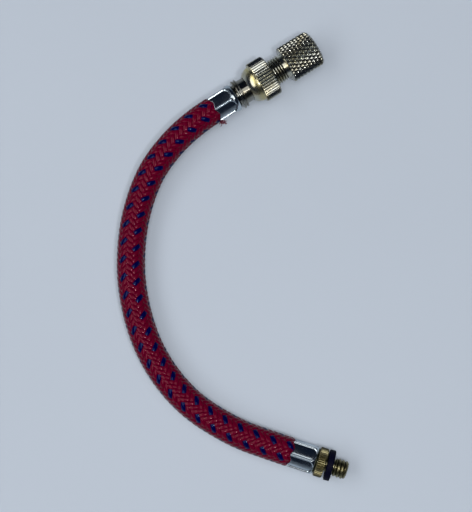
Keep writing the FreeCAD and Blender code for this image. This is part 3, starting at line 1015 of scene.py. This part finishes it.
pumpTail = {
    "collarRadius": 4.2 * mm,
    "collarEnd": 9.65 * mm,
    "collarRounding": 0.35 * mm,
    "collarSpacing": 0.15 * mm,
    "teeth": 44,
    "facetsPerTooth": 8,
    "toothDepth": 0.25 * mm,
    "toothCrest": 1.3,
    "toothMargin": 0.2 * mm,
    "neckRadius": 2.1 * mm,
    "threadStart": 12.15 * mm,
    "threadRise": 0.3 * mm,     # along the fitting, from the neck to the full thread
    "threadRadius": 2.6 * mm,
    "threadPitch": 1.0583 * mm,
    "threadDepth": 0.32 * mm,
    "threadCrest": 1.4,
    "threadRounding": 0.9 * mm,
    "threadMargin": 0.3 * mm,
    "ringsPerTurn": 14,
    "bore": 1.25 * mm,
    "boreDepth": 6.0 * mm,
}


def pumpTailMesh(ferruleEnd, end, tree, material):
    size = pumpTail
    edge = size["collarRounding"]
    collar = size["collarRadius"]
    collarEnd = size["collarEnd"]
    rounding = size["threadRounding"]
    thread = size["threadRadius"]
    threadSpacing = size["threadPitch"] / size["ringsPerTurn"]
    outline = stemOutline()
    outline += [(ferruleEnd, stem["journalRadius"])]
    outline += roundedBand(ferruleEnd, collarEnd, collar, edge, edge, size["collarSpacing"], (4, 4))
    outline += [(collarEnd, size["neckRadius"]), (size["threadStart"], size["neckRadius"])]
    outline += straight(size["threadStart"] + size["threadRise"], end - rounding, thread, threadSpacing)
    outline += bend(end - rounding, thread - rounding, rounding, 90, 0, steps=8)
    outline += [(end, size["bore"]), (end - size["boreDepth"], size["bore"])]
    outline += [(end - size["boreDepth"], stem["bore"])]
    mesh = turnedMesh("pumpTail", outline, size["teeth"] * size["facetsPerTooth"])
    teeth = teethCut(size, collar, ferruleEnd, collarEnd, stem["journalRadius"])
    maleThread = threadCut(
        thread, size["threadDepth"], size["threadPitch"], size["threadStart"] + hair, end,
        {"Crest": size["threadCrest"], "Lowest": size["bore"] + size["threadMargin"], "Rounded": 1.0})
    return cutInto(mesh, tree, material, [teeth, maleThread])


washer = {
    "rounding": 0.35 * mm,
    "hole": 2.25 * mm,
    "rimDepth": 0.05 * mm,      # points this near the farthest one are the rim's
    "segments": 96,
}


def pumpWasherMesh(place, material):
    # the washer leans a little on the neck, so its own middle and lean are read from the solid
    points = [place.inverted() @ vertex.co for vertex in frame["nodes"]["pump_washer"].data.vertices]
    centre = sum(points, Vector()) / len(points)
    far = max((point - centre for point in points), key=lambda offset: offset.length)
    rim = [point - centre for point in points if (point - centre).length > far.length - washer["rimDepth"]]
    rightSide = [point for point in rim if point.x > 0]
    lean = math.atan2(
        sum(point.x * point.y for point in rightSide) / len(rightSide),
        sum(point.y * point.y for point in rightSide) / len(rightSide))
    radius = max(math.hypot(point.y, point.z) for point in rim)
    thickness = 2 * math.sqrt(max(far.length_squared - radius ** 2, 0))
    half = thickness / 2
    edge = washer["rounding"]
    outline = [(-half, washer["hole"])]
    outline += roundedBand(-half, half, radius, edge, edge, steps=(5, 5))
    outline += [(half, washer["hole"])]
    mesh = turnedMesh("pumpWasher", outline, washer["segments"])
    mesh.materials.append(material)
    mesh.transform(Matrix.Translation(centre) @ Matrix.Rotation(-lean, 4, "Z"))
    return mesh


def seatPiece(mesh, place, name, body, node, smoothAngle):
    mesh.transform(place)
    addPiece(name, mesh, body, [node], smoothAngle)


def makeFittings(materials):
    valve = fittingPlace("valve_socket", "crimp_ferrule_valve")
    pump = fittingPlace("pump_thread", "crimp_ferrule_pump")
    tree = cutTree()
    for (node, roll, pocketEnd), place in zip(ferrule["pair"], (valve, pump)):
        length, radius = reach(node, place)[1:]
        mesh = ferruleMesh(node + "_skin", length, radius, roll, pocketEnd, materials["nickel"])
        seatPiece(mesh, place, node + "_pressed", "hose_assembly", node, 40)

    addTuft(valve)
    # the valve tail takes the plate's darker copy, which is painted shade
    mesh = valveTailMesh(reach("crimp_ferrule_valve", valve)[1], materials["paintedShadePlate"])
    seatPiece(mesh, valve, "valveTailTurned", "hose_assembly", "valve_tail", 35)
    mesh = nutMesh(*reach("swivel_nut", valve), tree, materials["platedBrass"])
    seatPiece(mesh, valve, "swivelNutKnurled", "nut", "swivel_nut", 35)
    mesh = adapterMesh(*reach("valve_adapter", valve), tree, materials["platedBrass"])
    seatPiece(mesh, valve, "valveAdapterKnurled", "adapter", "valve_adapter", 25)

    ferruleEnd = reach("crimp_ferrule_pump", pump)[1]
    mesh = pumpTailMesh(ferruleEnd, reach("pump_tail", pump)[1], tree, materials["oliveBrass"])
    seatPiece(mesh, pump, "pumpTailThreaded", "hose_assembly", "pump_tail", 35)
    mesh = pumpWasherMesh(pump, materials["blackRubber"])
    seatPiece(mesh, pump, "pumpWasherRubber", "hose_assembly", "pump_washer", 50)
    print("fittings: two ferrules, two tails, nut, adapter and washer")


# the inner pieces keep their solids
def dressInnerPieces(materials):
    finishes = {
        "core_depressor": "platedBrass",
        "swivel_washer": "blackRubber",
        "adapter_seal": "blackRubber",
    }
    for node, finish in finishes.items():
        slots = frame["nodes"][node].data.materials
        slots.clear()
        slots.append(materials[finish])
    print("inner pieces: depressor, washer and seal")


# floor, backdrop and lamps
studio = {
    "floorColour": (0.48, 0.535, 0.61),
    "patchShade": 0.95,
    "patchScale": 9,
    "floorRoughness": 0.75,
    "floorSpecular": 0.2,
    "floorRadius": 1.6,
    "bendRadius": 0.5,
    "bendSteps": 16,
    "turnSteps": 96,
    "weld": 0.01 * mm,
    "glow": 0.18,               # how much of the floor's tone doesn't depend on the lamps
    "world": (0.008, 0.013, 0.026),
    "lamps": [
        # name, place, width and height, power in watts, and whether gloss mirrors it
        ("overhead", (0.10, -0.03, 1.10), (0.75, 0.75), 2.6, True),
        ("fill", (-0.01, -0.16, 1.19), (0.50, 0.50), 4.4, False),
        ("left", (-0.67, -0.06, 0.87), (1.50, 0.60), 6.0, True),
        ("spark", (0.20, -0.25, 1.00), (0.10, 0.10), 2.5, True),
    ],
}


def paperMaterial():
    material, graph, shader = newMaterial("paper", {
        "Roughness": studio["floorRoughness"], "Specular IOR Level": studio["floorSpecular"]})
    place = graph.add("ShaderNodeTexCoord", output="Object")
    tone = graph.noise(place, studio["patchScale"], 3)
    colour = studio["floorColour"]
    darker = [shade * studio["patchShade"] for shade in colour]
    paper = graph.blend(tone, (*darker, 1), (*colour, 1))
    graph.feed(shader.inputs["Base Color"], paper)
    rays = graph.add("ShaderNodeLightPath", output="Is Camera Ray").socket.node.outputs
    seen = Value(graph, rays["Is Camera Ray"]) + Value(graph, rays["Is Glossy Ray"])
    seen = seen + Value(graph, rays["Is Transmission Ray"])
    glow = graph.add("ShaderNodeEmission", (paper,))
    shared = graph.add("ShaderNodeMixShader", (seen * studio["glow"], Value(graph, shader.outputs[0]), glow))
    outlet = next(node for node in material.node_tree.nodes if node.type == "OUTPUT_MATERIAL")
    graph.feed(outlet.inputs["Surface"], shared)
    return material


def makeStage():
    # a round floor that bends up into a backdrop
    outline = [(0.0, 0.0), (studio["floorRadius"], 0.0)]
    for step in range(1, studio["bendSteps"] + 1):
        angle = math.pi / 2 * step / studio["bendSteps"]
        radius = studio["floorRadius"] + studio["bendRadius"] * math.sin(angle)
        outline.append((radius, studio["bendRadius"] * (1 - math.cos(angle))))
    work = bmesh.new()
    points = [work.verts.new((radius, 0, height)) for radius, height in outline]
    edges = [work.edges.new(pair) for pair in zip(points, points[1:])]
    bmesh.ops.spin(
        work, geom=points + edges, axis=up, cent=(0, 0, 0), angle=2 * math.pi, steps=studio["turnSteps"])
    bmesh.ops.remove_doubles(work, verts=work.verts, dist=studio["weld"])
    mesh = closedMesh(work, "floor")
    mesh.shade_smooth()
    mesh.materials.append(paperMaterial())
    floor = addObject("floor", mesh)

    world = bpy.data.worlds.new("room")
    world.use_nodes = True
    world.node_tree.nodes["Background"].inputs["Color"].default_value = (*studio["world"], 1)
    scene.world = world
    for name, place, (width, height), power, mirrored in studio["lamps"]:
        light = bpy.data.lights.new(name, "AREA")
        light.shape = "ELLIPSE"
        light.size = width
        light.size_y = height
        light.energy = power
        lamp = addObject(name, light)
        lamp.location = place
        lamp.visible_glossy = mirrored
        lamp.rotation_euler = (-Vector(place)).to_track_quat("-Z", "Y").to_euler()
    scene.view_settings.view_transform = "Standard"
    print("stage: floor, backdrop and", len(studio["lamps"]), "lamps")


random.seed(4)
makeCamera()
surfaces = makeMaterials()
makeHose(makeRoute(), surfaces)
makeFittings(surfaces)
dressInnerPieces(surfaces)
makeStage()
